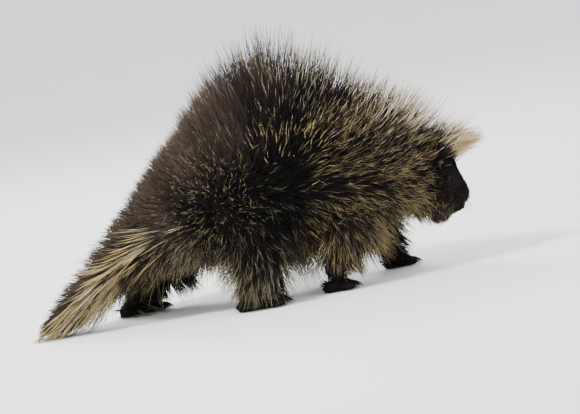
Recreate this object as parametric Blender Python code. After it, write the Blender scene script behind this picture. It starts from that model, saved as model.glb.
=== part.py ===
"""A North American porcupine in mid stride, life size, as the outer form of its winter coat.

Metres, +Z up, the nose towards +X and the right flank towards -Y. While the pieces are
made, x is measured from the tip of the tail; the whole is centred at the end.
"""
import math

import bmesh
import bpy
from mathutils import Matrix, Vector

# Joints between pieces, and the floor
GAP = 0.0003            # space kept between two pieces that meet
SOLE = 0.003            # thickness of a naked foot pad
WELD = 0.00005          # points nearer than this are one point

# Fineness of the surface
ROUND = 28              # points round the body
LIMB_ROUND = 14         # points round a leg
FOOT_ROUND = 10         # points round a foot
TOE_ROUND = 7           # points round a toe
CLAW_ROUND = 6          # points round a claw
RINGS_PER_KEY = 3.6     # rings between two named stations
FORELOCK_RINGS = 7

# Stations along the body, from the tip of the tail to the nose: the middle of the ring,
# the lean of its plane in degrees, then how far the coat reaches up, down and sideways
STATIONS = {
    "tail_end":   (0.010, 0.010, 33, 0.007, 0.014, 0.010),
    "tail_mid":   (0.085, 0.047, 33, 0.033, 0.058, 0.044),
    "tail_root":  (0.175, 0.105, 38, 0.052, 0.056, 0.066),
    "rump":       (0.270, 0.165, 41, 0.079, 0.098, 0.120),
    "loin":       (0.365, 0.208, 25, 0.128, 0.160, 0.150),
    "back":       (0.450, 0.222, 5, 0.226, 0.188, 0.153),
    "withers":    (0.510, 0.215, -8, 0.202, 0.186, 0.147),
    "shoulder":   (0.560, 0.200, -18, 0.160, 0.162, 0.136),
    "nape":       (0.632, 0.174, -31, 0.145, 0.128, 0.108),
    "crown":      (0.678, 0.152, -38, 0.126, 0.106, 0.080),
    "brow":       (0.706, 0.138, -38, 0.047, 0.080, 0.053),
    "cheek":      (0.722, 0.126, -38, 0.032, 0.061, 0.036),
    "muzzle":     (0.738, 0.113, -38, 0.022, 0.037, 0.024),
    "nose_end":   (0.749, 0.1045, -38, 0.011, 0.013, 0.012),
    "nose_tip":   (0.7525, 0.1017, -38, 0.004, 0.005, 0.005),
}
KEYS = list(STATIONS.values())
NAMES = list(STATIONS)

# Each body piece runs between two places on the line of stations
BODY_PIECES = {
    "tail_tip":    ("tail_end", 0.0, "tail_mid", 0.0),
    "tail_middle": ("tail_mid", 0.0, "tail_mid", 0.6),
    "tail_base":   ("tail_mid", 0.6, "tail_root", 0.2),
    "rump":        ("tail_root", 0.2, "loin", 0.0),
    "loin":        ("loin", 0.0, "back", 0.2),
    "chest":       ("back", 0.2, "shoulder", 0.4),
    "neck":        ("shoulder", 0.4, "nape", 0.8),
    "head":        ("nape", 0.8, "cheek", 0.0),
    "muzzle":      ("cheek", 0.0, "muzzle", 0.5),
    "nose":        ("muzzle", 0.5, "nose_tip", 0.0),
}
TRUNK_GROW = 1.006      # leaves a leg clear of the trunk that it comes out of
ARCH = 1.75             # squareness of a ring's upper half: under 2 is a narrow arch
BELLY = 2.15            # and of its lower half: over 2 is full

# The long hair of the forehead, which stands out over the face
FORELOCK = {
    "root": (0.690, 0.196, 0.058, 0.050),
    "middle": (0.738, 0.218, 0.044, 0.038),
    "end": (0.784, 0.215, 0.013, 0.013),
}
SHAG = 0.022            # how deep the coat's locks show, as a share of its reach
CREST_SHAG = 0.035      # and on the crest of the back
SHAG_FADES = 11.0       # the place on the line of stations where the face's short fur begins

# Features of the head: place on the line of stations and height round the ring in degrees
EYE_RADIUS = 0.0055
EYE_DEPTH = 0.0022      # of the eye's middle under the coat
EYE_PLACE = ("brow", 0.18, 20)
EAR_PLACE = ("crown", 0.42, 36)
EAR_SIZE = (0.007, 0.012, 0.017)   # half its thickness, width and height
EAR_SINK = 0.008
MOUTH = (0.742, 0.101, -40)        # a point of the mouth's line, and its slope in degrees

# Legs from the top down: (x, outward y, z) of the middle of a ring, the lean of its plane
# in degrees, and the coat's reach fore-and-aft and sideways
LEGS = {
    "hind_left": [
        ((0.318, 0.062, 0.205), 0, 0.050, 0.030), ((0.290, 0.094, 0.104), -18, 0.062, 0.044),
        ((0.232, 0.094, 0.060), -40, 0.042, 0.030), ((0.176, 0.090, 0.022), -38, 0.027, 0.025),
    ],
    "hind_right": [
        ((0.350, 0.062, 0.215), 0, 0.050, 0.030), ((0.385, 0.106, 0.106), 0, 0.062, 0.044),
        ((0.386, 0.108, 0.060), 4, 0.050, 0.036), ((0.372, 0.102, 0.010), 0, 0.036, 0.029),
    ],
    "front_left": [
        ((0.590, 0.056, 0.160), 0, 0.038, 0.028), ((0.602, 0.070, 0.085), 0, 0.046, 0.036),
        ((0.612, 0.068, 0.050), 0, 0.038, 0.029), ((0.617, 0.067, 0.010), 0, 0.026, 0.024),
    ],
    "front_right": [
        ((0.560, 0.056, 0.165), 0, 0.038, 0.028), ((0.536, 0.076, 0.085), 0, 0.046, 0.038),
        ((0.517, 0.074, 0.050), 0, 0.037, 0.031), ((0.503, 0.071, 0.010), 0, 0.027, 0.025),
    ],
}
KNEE = 1                # a hind leg's second ring is at its knee

# Feet: heel (x, outward y), length to the toes' roots, half breadth, height at the
# ankle, toes, and how far the foot turns outwards in degrees
FEET = {
    "hind_left": dict(heel=(0.150, 0.088), length=0.068, half=0.021, height=0.030, toes=5, turn=6),
    "hind_right": dict(heel=(0.338, 0.098), length=0.068, half=0.021, height=0.030, toes=5, turn=6),
    "front_left": dict(heel=(0.600, 0.066), length=0.042, half=0.018, height=0.024, toes=4, turn=4),
    "front_right": dict(heel=(0.482, 0.070), length=0.042, half=0.018, height=0.024, toes=4, turn=4),
}
# Rings along a foot: their place as a share of its length, then height and breadth as
# shares of the foot's own
FOOT_PROFILE = [
    (-0.06, 0.30, 0.45), (0.02, 0.62, 0.78), (0.20, 0.95, 0.92), (0.42, 0.80, 0.96),
    (0.70, 0.52, 1.00), (0.92, 0.36, 0.98), (1.04, 0.22, 0.84)]
FOOT_BULGE = 0.0018     # how far a foot's underside rounds down
ANKLE_ROOM = 0.0012     # between a foot and the coat that hangs over it
TOE_LENGTH = 0.013
TOE_RADIUS = 0.0056
TOE_HEIGHT = 0.0094     # of a toe's middle line, at its root
TOE_SPREAD = 26         # degrees between the two outer toes
FOOT_GRAIN = 0.0018     # fineness at which the toes are fused to the foot
FOOT_SHARE = 0.085      # share of the fused surface's faces that is kept
CLAW_GAP = 0.0007
CLAW_LENGTH = 0.013     # on a hind foot
PAW_CLAW = 1.08         # a front claw is longer by this
CLAW_RADIUS = 0.0030
CLAW_DROP = 48          # degrees that a claw curves down
TAIL_REST = 0.0         # the tail's last third lies on the floor, cut flat there

COLOURS = {
    "fur_dark": (0.045, 0.032, 0.024), "fur_olive": (0.16, 0.13, 0.075),
    "face": (0.020, 0.016, 0.014), "pad": (0.025, 0.022, 0.020),
    "claw": (0.060, 0.048, 0.036), "eye": (0.008, 0.006, 0.005),
}
ROUGHNESS = {"eye": 0.08, "claw": 0.35}


def material(name, finish):
    """One sub-part's own material."""
    made = bpy.data.materials.new(name)
    made.use_nodes = True
    shader = made.node_tree.nodes["Principled BSDF"]
    shader.inputs["Base Color"].default_value = (*COLOURS[finish], 1.0)
    shader.inputs["Roughness"].default_value = ROUGHNESS.get(finish, 0.85)
    shader.inputs["Metallic"].default_value = 0.0
    return made


def solid(name, mesh, finish):
    """An object in the scene for one closed mesh."""
    obj = bpy.data.objects.new(name, mesh)
    bpy.context.scene.collection.objects.link(obj)
    mesh.materials.clear()
    mesh.materials.append(material(name, finish))
    return obj


def loft(name, rings, finish):
    """A closed solid of triangles through rings that have the same number of points."""
    work = bmesh.new()
    loops = [[work.verts.new(point) for point in ring] for ring in rings]
    count = len(rings[0])
    for near, far in zip(loops, loops[1:]):
        for i in range(count):
            j = (i + 1) % count
            work.faces.new((near[i], near[j], far[j], far[i]))
    for ring, loop in ((rings[0], loops[0]), (rings[-1], loops[-1])):
        middle = work.verts.new(sum(ring, Vector()) / count)
        for i in range(count):
            work.faces.new((loop[i], loop[(i + 1) % count], middle))
    bmesh.ops.triangulate(work, faces=work.faces)
    bmesh.ops.recalc_face_normals(work, faces=work.faces)
    mesh = bpy.data.meshes.new(name)
    work.to_mesh(mesh)
    work.free()
    mesh.shade_smooth()
    return solid(name, mesh, finish)


def tidy(mesh):
    """Welds the slivers that a cut leaves, and turns every face into triangles."""
    work = bmesh.new()
    work.from_mesh(mesh)
    bmesh.ops.remove_doubles(work, verts=work.verts, dist=WELD)
    bmesh.ops.dissolve_degenerate(work, dist=WELD, edges=work.edges)
    bmesh.ops.triangulate(work, faces=work.faces)
    work.to_mesh(mesh)
    work.free()


def apply_boolean(obj, other, operation):
    """Cuts or joins one solid with another, for good."""
    apply_modifier(obj, "BOOLEAN", operation=operation, solver="EXACT", object=other)
    tidy(obj.data)


def apply_modifier(obj, kind, **settings):
    """Adds one modifier with its settings and applies it."""
    modifier = obj.modifiers.new("step", kind)
    for key, value in settings.items():
        setattr(modifier, key, value)
    bpy.context.view_layer.objects.active = obj
    bpy.ops.object.modifier_apply(modifier=modifier.name)


def fuse(name, objects, grain, share, finish):
    """One smooth solid in place of several that run into each other."""
    work = bmesh.new()
    for obj in objects:
        work.from_mesh(obj.data)
        discard(obj)
    mesh = bpy.data.meshes.new(name)
    work.to_mesh(mesh)
    work.free()
    fused = solid(name, mesh, finish)
    apply_modifier(fused, "REMESH", mode="VOXEL", voxel_size=grain)
    apply_modifier(fused, "DECIMATE", ratio=share)
    fused.data.shade_smooth()
    return fused


def discard(obj):
    """Takes a helper out of the scene."""
    bpy.data.objects.remove(obj)


def cut_clear(obj, neighbour):
    """Cuts a solid back from its neighbour, and leaves the gap between them."""
    cutter = bpy.data.objects.new("cutter", neighbour.data.copy())
    bpy.context.scene.collection.objects.link(cutter)
    work = bmesh.new()
    work.from_mesh(cutter.data)
    work.normal_update()
    moves = [(vertex, vertex.normal * GAP) for vertex in work.verts]
    for vertex, move in moves:
        vertex.co += move
    work.to_mesh(cutter.data)
    work.free()
    apply_boolean(obj, cutter, "DIFFERENCE")
    discard(cutter)


def keep_side(obj, point, away):
    """Cuts a solid by a plane, and keeps the side that the plane's normal leaves."""
    work = bmesh.new()
    work.from_mesh(obj.data)
    everything = work.verts[:] + work.edges[:] + work.faces[:]
    cut = bmesh.ops.bisect_plane(
        work, geom=everything, plane_co=point, plane_no=away, clear_outer=True, dist=1e-6)
    rim = [item for item in cut["geom_cut"] if isinstance(item, bmesh.types.BMEdge)]
    bmesh.ops.holes_fill(work, edges=rim, sides=0)
    bmesh.ops.triangulate(work, faces=work.faces)
    bmesh.ops.recalc_face_normals(work, faces=work.faces)
    work.to_mesh(obj.data)
    work.free()


def blend(values, t):
    """The value at t on a smooth curve through values, which stand at 0, 1, 2 and so on."""
    last = len(values) - 1
    i = max(0, min(last - 1, int(math.floor(t))))
    f = t - i
    a, b, c, d = (values[max(0, min(last, i + k))] for k in (-1, 0, 1, 2))
    return 0.5 * (2 * b + (c - a) * f + (2 * a - 5 * b + 4 * c - d) * f * f
                  + (3 * b - a - 3 * c + d) * f ** 3)


def station(t):
    """Middle, lean and reach of the body's ring at t on the line of stations."""
    x, z, lean, up, down, half = (blend([key[k] for key in KEYS], t) for k in range(6))
    return Vector((x, 0, z)), math.radians(lean), up, down, half


def place_on_line(name, share):
    return NAMES.index(name) + share


def locks(t, angle):
    """How far the coat's locks stand in or out at a place, as a share of its reach."""
    fade = max(0.0, min(1.0, (SHAG_FADES - t) / 1.5))
    bumps = math.sin(9.0 * angle + 2.0 * math.sin(4.1 * t)) * math.sin(6.1 * t + 2.0 * angle)
    crest = max(0.0, math.sin(angle)) ** 4 * math.sin(11.3 * t)
    return fade * (SHAG * bumps + CREST_SHAG * crest)


def ring_point(t, angle):
    """A point of the coat's surface: angle 0 is the left flank and 90 the back."""
    middle, lean, up, down, half = station(t)
    c, s = math.cos(angle), math.sin(angle)
    squareness = ARCH if s > 0 else BELLY
    sideways = half * math.copysign(abs(c) ** (2 / squareness), c)
    upwards = (up if s > 0 else down) * math.copysign(abs(s) ** (2 / squareness), s)
    rise = Vector((-math.sin(lean), 0, math.cos(lean)))
    return middle + (Vector((0, sideways, 0)) + rise * upwards) * (1 + locks(t, angle))


def body_ring(t, shift=0.0, grow=1.0):
    """One ring of the body, moved along the body by shift, and made larger by grow."""
    middle, lean = station(t)[:2]
    ahead = Vector((math.cos(lean), 0, math.sin(lean)))
    turn = 2 * math.pi / ROUND
    return [middle + (ring_point(t, i * turn) - middle) * grow + ahead * shift
            for i in range(ROUND)]


def piece_steps(name):
    """Where the rings of one body piece stand on the line of stations."""
    first_name, first_share, last_name, last_share = BODY_PIECES[name]
    first = place_on_line(first_name, first_share)
    last = place_on_line(last_name, last_share)
    count = max(2, round((last - first) * RINGS_PER_KEY))
    return [first + (last - first) * i / count for i in range(count + 1)]


def body_piece(name, finish):
    """One length of the body between two places on the line of stations."""
    steps = piece_steps(name)
    rings = [body_ring(steps[0], GAP / 2)]
    rings += [body_ring(t) for t in steps[1:-1]]
    rings.append(body_ring(steps[-1], -GAP / 2))
    return loft(name, rings, finish)


def tube_rings(keys, steps, round_count):
    """Rings square to a smooth path through keys of (place, reach fore-and-aft, sideways)."""
    last = len(keys) - 1
    places = [Vector(key[0]) for key in keys]

    def at(t):
        return Vector(blend([place[k] for place in places], t) for k in range(3))

    rings = []
    for i in range(steps + 1):
        t = last * i / steps
        ahead = (at(t + 0.02) - at(t - 0.02)).normalized()
        side = Vector((0, 1, 0))
        side = (side - ahead * side.dot(ahead)).normalized()
        fore = side.cross(ahead)
        long_reach = blend([key[1] for key in keys], t)
        side_reach = blend([key[2] for key in keys], t)
        turn = 2 * math.pi / round_count
        rings.append([
            at(t) + fore * long_reach * math.cos(k * turn)
            + side * side_reach * math.sin(k * turn) for k in range(round_count)])
    return rings


def make_trunk_cutter():
    """The body from the tail to the brow as one solid, a little larger all round."""
    steps = []
    for name in ("tail_middle", "tail_base", "rump", "loin", "chest", "neck", "head"):
        steps += piece_steps(name)[len(steps) > 0:]
    return loft("trunk_cutter", [body_ring(t, 0.0, TRUNK_GROW) for t in steps], "fur_dark")


def make_forelock():
    """The fan of long hair over the forehead, joined to the head."""
    keys = [((x, 0, z), tall, half) for x, z, tall, half in FORELOCK.values()]
    return loft("forelock", tube_rings(keys, FORELOCK_RINGS, LIMB_ROUND), "fur_olive")


def make_body():
    """The tail, trunk, neck and head, each its own solid."""
    pieces = {}
    for name in BODY_PIECES:
        finish = "face" if name in ("muzzle", "nose") else "fur_dark"
        pieces[name] = body_piece(name, finish)
    forelock = make_forelock()
    cut_clear(forelock, pieces["neck"])
    apply_boolean(pieces["head"], forelock, "UNION")
    discard(forelock)
    x, z, slope = MOUTH
    upwards = Vector((-math.sin(math.radians(slope)), 0, math.cos(math.radians(slope))))
    jaw = solid("lower_jaw", pieces["muzzle"].data.copy(), "face")
    keep_side(pieces["muzzle"], Vector((x, 0, z)) + upwards * GAP / 2, -upwards)
    keep_side(jaw, Vector((x, 0, z)) - upwards * GAP / 2, upwards)
    pieces["lower_jaw"] = jaw
    return pieces


def side_of(name):
    return 1 if name.endswith("left") else -1


def surface_frame(place, side):
    """A point of the head's coat, and the way out of it, on one side."""
    t, angle = place_on_line(place[0], place[1]), math.radians(place[2])
    point = ring_point(t, angle)
    along = ring_point(t + 0.05, angle) - ring_point(t - 0.05, angle)
    round_it = ring_point(t, angle + 0.05) - ring_point(t, angle - 0.05)
    out = along.cross(round_it).normalized()
    if out.y < 0:
        out.negate()
    return Vector((point.x, point.y * side, point.z)), Vector((out.x, out.y * side, out.z))


def ball(name, place, radii, turn, finish, segments=10):
    """A round solid with its own reach along each axis."""
    mesh = bpy.data.meshes.new(name)
    work = bmesh.new()
    bmesh.ops.create_uvsphere(work, u_segments=segments, v_segments=segments // 2, radius=1.0)
    bmesh.ops.transform(
        work, matrix=Matrix.Translation(place) @ turn @ Matrix.Diagonal((*radii, 1.0)),
        verts=work.verts)
    bmesh.ops.recalc_face_normals(work, faces=work.faces)
    work.to_mesh(mesh)
    work.free()
    mesh.shade_smooth()
    return solid(name, mesh, finish)


def make_features(head):
    """Eyes in open sockets, and the small round ears in the fur."""
    for side_name, side in (("left", 1), ("right", -1)):
        point, out = surface_frame(EYE_PLACE, side)
        facing = out.to_track_quat("Z", "Y").to_matrix().to_4x4()
        eye = ball(f"eye_{side_name}", point - out * EYE_DEPTH, (EYE_RADIUS,) * 3, facing, "eye")
        cut_clear(head, eye)
        point, out = surface_frame(EAR_PLACE, side)
        upright = Matrix.Rotation(math.radians(-20 * side), 4, "X")
        ear = ball(f"ear_{side_name}", point + Vector((0, 0, EAR_SINK)), EAR_SIZE, upright, "face")
        cut_clear(head, ear)


def foot_matrix(name):
    """From a foot's own frame, heel at the origin and toes along +X, to the body's."""
    foot, side = FEET[name], side_of(name)
    heel_x, heel_y = foot["heel"]
    turn = Matrix.Rotation(math.radians(foot["turn"] * side), 4, "Z")
    return Matrix.Translation((heel_x, heel_y * side, 0)) @ turn


def sole_outline(foot):
    """The outline of a foot's pad, heel to ball, as a rounded and tapering shape."""
    length, half = foot["length"], foot["half"]
    points = []
    for i in range(LIMB_ROUND):
        angle = 2 * math.pi * i / LIMB_ROUND
        breadth = half * (0.70 + 0.12 * math.cos(angle))
        points.append(Vector((length * (0.46 + 0.42 * math.cos(angle)),
                              breadth * math.sin(angle), 0)))
    return points


def prism(name, outline, low, high, finish):
    rings = [[Vector((p.x, p.y, level)) for p in outline] for level in (low, high)]
    return loft(name, rings, finish)


def foot_ring(foot, share, height, width):
    """One ring of a foot: a low arch over a flat underside."""
    x, half = foot["length"] * share, foot["half"] * width
    turn = 2 * math.pi / FOOT_ROUND
    points = []
    for k in range(FOOT_ROUND):
        c, s = math.cos(k * turn), math.sin(k * turn)
        lift = (height if s > 0 else FOOT_BULGE) * s
        points.append(Vector((x, half * c, SOLE + GAP + FOOT_BULGE + lift)))
    return points


def foot_cutter(foot, place):
    """The room that a foot takes out of its leg: the foot, a gap larger, and all below it."""
    rings = []
    for share, tall, wide in [*FOOT_PROFILE, (1.30, 0.22, 1.0)]:
        toes = max(0.0, share - 0.4)
        height = foot["height"] * tall + 0.006 * min(1.0, 2 * toes)
        points = foot_ring(foot, share, height, wide * (1 + 0.35 * toes))
        for point in points:
            point.y *= 1.10
            point.z = point.z + ANKLE_ROOM if point.z > SOLE + FOOT_BULGE else -SOLE
        rings.append(points)
    rings.insert(0, [point - Vector((ANKLE_ROOM, 0, 0)) for point in rings[0]])
    cutter = loft("foot_cutter", rings, "face")
    cutter.data.transform(place)
    return cutter


def make_foot(name, leg_pieces):
    """A foot with its pad, toes and claws, parted from the leg above."""
    foot, place = FEET[name], foot_matrix(name)
    kind = "foot" if name.startswith("hind") else "paw"
    rings = [foot_ring(foot, share, foot["height"] * tall, wide)
             for share, tall, wide in FOOT_PROFILE]
    forms = [loft("sole", rings, "face")]
    pad = prism(f"pad_{name}", sole_outline(foot), 0.0, SOLE, "pad")
    claws = []
    for i in range(foot["toes"]):
        share = i / (foot["toes"] - 1) - 0.5
        yaw = math.radians(TOE_SPREAD * share)
        root = Vector((foot["length"] * (0.97 - 0.10 * abs(share)), foot["half"] * 1.55 * share,
                       TOE_HEIGHT + 0.0003 * math.cos(2.3 * i)))
        ahead = Vector((math.cos(yaw), math.sin(yaw), 0))
        back = root - ahead * TOE_LENGTH + Vector((0, 0, 0.0008))
        tip = root + ahead * TOE_LENGTH * (1.15 - abs(share)) - Vector((0, 0, 0.0020))
        keys = [(back, TOE_RADIUS * 1.1, TOE_RADIUS), (root, TOE_RADIUS, TOE_RADIUS),
                (tip, TOE_RADIUS * 0.72, TOE_RADIUS * 0.78)]
        forms.append(loft("toe", tube_rings(keys, 3, TOE_ROUND), "face"))
        onward = (tip - root).normalized()
        claws.append(make_claw(f"claw_{name}_{i + 1}", tip + onward * CLAW_GAP, onward, kind))
    body = fuse(f"{kind}_{name}", forms, FOOT_GRAIN, FOOT_SHARE, "face")
    keep_side(body, Vector((0, 0, SOLE + GAP)), Vector((0, 0, -1)))
    for obj in [body, pad, *claws]:
        obj.data.transform(place)
    cutter = foot_cutter(foot, place)
    apply_boolean(leg_pieces[-1], cutter, "DIFFERENCE")
    discard(cutter)


def make_claw(name, base, onward, kind):
    """A claw that goes on from a toe's end and curves down."""
    yaw, rise_at_base = math.atan2(onward.y, onward.x), math.asin(onward.z)
    length = CLAW_LENGTH * (PAW_CLAW if kind == "paw" else 1.0)
    steps, point, rings = 4, Vector(base), []
    for i in range(steps + 1):
        share = i / steps
        pitch = rise_at_base - math.radians(CLAW_DROP) * share
        ahead = Vector((math.cos(yaw) * math.cos(pitch), math.sin(yaw) * math.cos(pitch),
                        math.sin(pitch)))
        side = Vector((-math.sin(yaw), math.cos(yaw), 0))
        rise = ahead.cross(side)
        radius = CLAW_RADIUS * (1 - 0.80 * share ** 1.3)
        turn = 2 * math.pi / CLAW_ROUND
        rings.append([point + rise * radius * 1.15 * math.cos(k * turn)
                      + side * radius * 0.80 * math.sin(k * turn) for k in range(CLAW_ROUND)])
        point = point + ahead * length / steps
    return loft(name, rings, "claw")


def leg_rings(name, first, last, steps, lift_first=0.0, lift_last=0.0):
    """Rings down a leg, from one place on its line of keys to another."""
    side, turn = side_of(name), 2 * math.pi / LIMB_ROUND
    flat = [(*place, lean, fore, wide) for place, lean, fore, wide in LEGS[name]]
    rings = []
    for i in range(steps + 1):
        t = first + (last - first) * i / steps
        x, y, z, lean, fore, wide = (blend([key[k] for key in flat], t) for k in range(6))
        lean = math.radians(lean)
        ahead = Vector((math.cos(lean), 0, math.sin(lean)))
        rise = Vector((-math.sin(lean), 0, math.cos(lean)))
        middle = Vector((x, y * side, z))
        middle += rise * (lift_first if i == 0 else lift_last if i == steps else 0.0)
        rings.append([middle + ahead * fore * math.cos(k * turn)
                      + Vector((0, wide * math.sin(k * turn), 0)) for k in range(LIMB_ROUND)])
    return rings


def make_leg(name, trunk):
    """A leg's coat from where it leaves the trunk down to its foot."""
    bottom = len(LEGS[name]) - 1
    if name.startswith("hind"):
        thigh = leg_rings(name, 0, KNEE, 4, 0.0, GAP / 2)
        shank = leg_rings(name, KNEE, bottom, 7, -GAP / 2)
        pieces = [loft(f"thigh_{name}", thigh, "fur_dark"),
                  loft(f"shank_{name}", shank, "fur_olive")]
    else:
        pieces = [loft(f"forearm_{name}", leg_rings(name, 0, bottom, 8), "fur_olive")]
    for piece in pieces:
        apply_boolean(piece, trunk, "DIFFERENCE")
    make_foot(name, pieces)


def stand_on_floor(objects):
    """Puts the world's origin on the floor under the middle of the whole, and each
    object's own origin at its middle."""
    boxes = {obj: box_of([obj]) for obj in objects}
    low, high = box_of(objects)
    shift = Vector((-(low.x + high.x) / 2, -(low.y + high.y) / 2, 0))
    for obj, (obj_low, obj_high) in boxes.items():
        middle = (obj_low + obj_high) / 2
        obj.data.transform(Matrix.Translation(-middle))
        obj.location = middle + shift


def box_of(objects):
    """The lowest and highest corner of the box round some objects' meshes."""
    points = [vertex.co for obj in objects for vertex in obj.data.vertices]
    return (Vector(min(point[k] for point in points) for k in range(3)),
            Vector(max(point[k] for point in points) for k in range(3)))


def main():
    for obj in list(bpy.data.objects):
        bpy.data.objects.remove(obj)
    body = make_body()
    make_features(body["head"])
    trunk = make_trunk_cutter()
    for name in LEGS:
        make_leg(name, trunk)
    discard(trunk)
    for name in ("tail_tip", "tail_middle", "tail_base"):
        keep_side(body[name], Vector((0, 0, TAIL_REST)), Vector((0, 0, -1)))
    stand_on_floor(list(bpy.data.objects))


main()
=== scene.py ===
from math import cos, pi, radians, sin

import bpy
import numpy as np
from mathutils import Matrix, Vector
from mathutils.bvhtree import BVHTree


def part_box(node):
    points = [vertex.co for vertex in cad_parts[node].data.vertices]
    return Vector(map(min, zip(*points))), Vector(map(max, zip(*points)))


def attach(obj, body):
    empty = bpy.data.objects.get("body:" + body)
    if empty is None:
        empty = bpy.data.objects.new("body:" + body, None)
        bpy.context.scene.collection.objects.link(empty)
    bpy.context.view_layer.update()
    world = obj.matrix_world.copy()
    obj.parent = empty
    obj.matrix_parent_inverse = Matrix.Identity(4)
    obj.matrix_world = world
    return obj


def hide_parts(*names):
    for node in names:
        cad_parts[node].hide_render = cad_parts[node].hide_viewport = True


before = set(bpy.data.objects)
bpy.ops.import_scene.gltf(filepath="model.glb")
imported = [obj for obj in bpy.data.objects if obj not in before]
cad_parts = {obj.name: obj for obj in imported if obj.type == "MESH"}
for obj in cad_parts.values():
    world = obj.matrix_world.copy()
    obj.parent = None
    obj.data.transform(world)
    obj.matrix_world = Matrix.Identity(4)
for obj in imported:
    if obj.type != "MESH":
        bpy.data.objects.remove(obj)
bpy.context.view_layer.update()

origin = Vector((-0.3956, 0.0013, 0.0))     # places are counted from the tail's tip, on the floor
rng = np.random.default_rng(7)
scene = bpy.context.scene
base = np.array(origin)


# what every piece is made with

def deselect():
    bpy.ops.object.select_all(action="DESELECT")


def activate(piece):
    deselect()
    piece.select_set(True)
    bpy.context.view_layer.objects.active = piece


def startEdit(action="SELECT"):
    bpy.ops.object.mode_set(mode="EDIT")
    bpy.ops.mesh.select_all(action=action)


def endEdit():
    bpy.ops.object.mode_set(mode="OBJECT")


def settle(piece):      # puts a piece's place, turn and scale in its mesh
    activate(piece)
    bpy.ops.object.transform_apply(location=True, rotation=True, scale=True)


# balls, extrusions and cuts list their faces and edges in an order that changes from run to run
# and with the machine; sorted by how far they are from two places in turn, no two of them tie

orderFrom = ((-0.27, 0.37, 0.19), (0.31, 0.17, 0.23))


def putInOrder(piece):
    activate(piece)
    corners = [piece.matrix_world @ Vector(corner) for corner in piece.bound_box]
    middle = (corners[0] + corners[6]) / 2
    startEdit()
    for offCentre in orderFrom:
        scene.cursor.location = middle + Vector(offCentre)
        bpy.ops.mesh.sort_elements(type="CURSOR_DISTANCE", elements={"VERT", "EDGE", "FACE"})
    endEdit()


def applyModifier(piece, kind, **settings):
    modifier = piece.modifiers.new(kind.lower(), kind)
    for key, value in settings.items():
        setattr(modifier, key, value)
    bpy.context.view_layer.objects.active = piece
    bpy.ops.object.modifier_apply(modifier=modifier.name)


def join(name, pieces):
    deselect()
    for piece in pieces:
        piece.select_set(True)
    bpy.context.view_layer.objects.active = pieces[0]
    bpy.ops.object.join()
    pieces[0].name = name
    return pieces[0]


def dress(piece, material):
    piece.data.materials.clear()
    piece.data.materials.append(material)


def boxOf(node):
    return [Vector(corner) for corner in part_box(node)]


def middleOf(node):
    low, high = boxOf(node)
    return (low + high) / 2, (high - low) / 2


def nodesCalled(start):
    return [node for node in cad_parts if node.startswith(start)]


def sloped(degrees):    # a direction in the side view, 0 forward and 90 up
    slope = radians(degrees)
    return np.array([cos(slope), 0, sin(slope)])


def ease(start, end, value):        # 0 before start, 1 past end, eased between them
    share = np.clip((value - start) / (end - start), 0.0, 1.0)
    return share * share * (3 - 2 * share)


def mixed(first, second, share):
    return first * (1 - share) + second * share


def unit(vectors):
    return vectors / (np.linalg.norm(vectors, axis=-1, keepdims=True) + 1e-12)


def read(items, key, width, kind=float):
    values = np.empty(len(items) * width, kind)
    items.foreach_get(key, values)
    return values.reshape(-1, width)


def meshPlaces(piece):
    return read(piece.data.vertices, "co", 3)


# the camera and the studio

viewSet = {
    "azimuth": -4.0, "elevation": 7.0,      # degrees round from the right flank, and up
    "roll": 10.3,                           # the slope that the animal walks up
    "distance": 6.0, "lens": 226.0, "sensor": 36.0,
    "aim": (0.457, 0.0, 0.142),
}


def makeCamera():
    data = bpy.data.cameras.new("photoCamera")
    camera = bpy.data.objects.new("photoCamera", data)
    scene.collection.objects.link(camera)
    azimuth, elevation = radians(viewSet["azimuth"]), radians(viewSet["elevation"])
    outward = Vector((sin(azimuth) * cos(elevation),
                      -cos(azimuth) * cos(elevation), sin(elevation)))
    look = outward.to_track_quat("Z", "Y").to_matrix().to_4x4()
    roll = Matrix.Rotation(radians(-viewSet["roll"]), 4, "Z")
    eye = origin + Vector(viewSet["aim"]) + outward * viewSet["distance"]
    camera.matrix_world = Matrix.Translation(eye) @ look @ roll
    data.lens = viewSet["lens"]
    data.sensor_width = viewSet["sensor"]
    data.clip_end = 100.0
    scene.camera = camera


studioSet = {
    "sky": (0.92, 0.94, 0.97), "skyStrength": 1.9,
    # name: place, aim, size, strength, colour
    "lights": {
        "key": ((-1.3, -0.9, 2.6), (0, 0, 0.2), 0.5, 130, (1.0, 0.95, 0.86)),
        "back light": ((-0.4, 2.2, 2.0), (0.05, 0, 0.25), 0.8, 70, (1.0, 0.96, 0.9)),
        "right fill": ((2.4, -2.4, 1.2), (0.2, 0, 0.2), 1.4, 30, (1.0, 0.98, 0.94)),
    },
}


def makeStudio():
    world = bpy.data.worlds.new("studio")
    world.use_nodes = True
    background = world.node_tree.nodes["Background"]
    background.inputs["Color"].default_value = (*studioSet["sky"], 1.0)
    background.inputs["Strength"].default_value = studioSet["skyStrength"]
    scene.world = world
    for name, (place, aim, size, strength, colour) in studioSet["lights"].items():
        data = bpy.data.lights.new(name, "AREA")
        data.size = size
        data.energy = strength
        data.color = colour
        light = bpy.data.objects.new(name, data)
        light.location = place
        light.rotation_euler = (Vector(place) - Vector(aim)).to_track_quat("Z", "Y").to_euler()
        scene.collection.objects.link(light)


# materials: a wire is one socket's value, and arithmetic on wires adds Math nodes

class Wire:
    def __init__(self, finish, socket):
        self.finish, self.socket = finish, socket

    def math(self, operation, other):
        return self.finish.node("Math", {"operation": operation}, {0: self, 1: other})

    def __add__(self, other):
        return self.math("ADD", other)

    def __mul__(self, other):
        return self.math("MULTIPLY", other)

    def __sub__(self, other):
        return self.math("SUBTRACT", other)

    def __pow__(self, other):
        return self.math("POWER", other)

    __radd__, __rmul__ = __add__, __mul__


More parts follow.
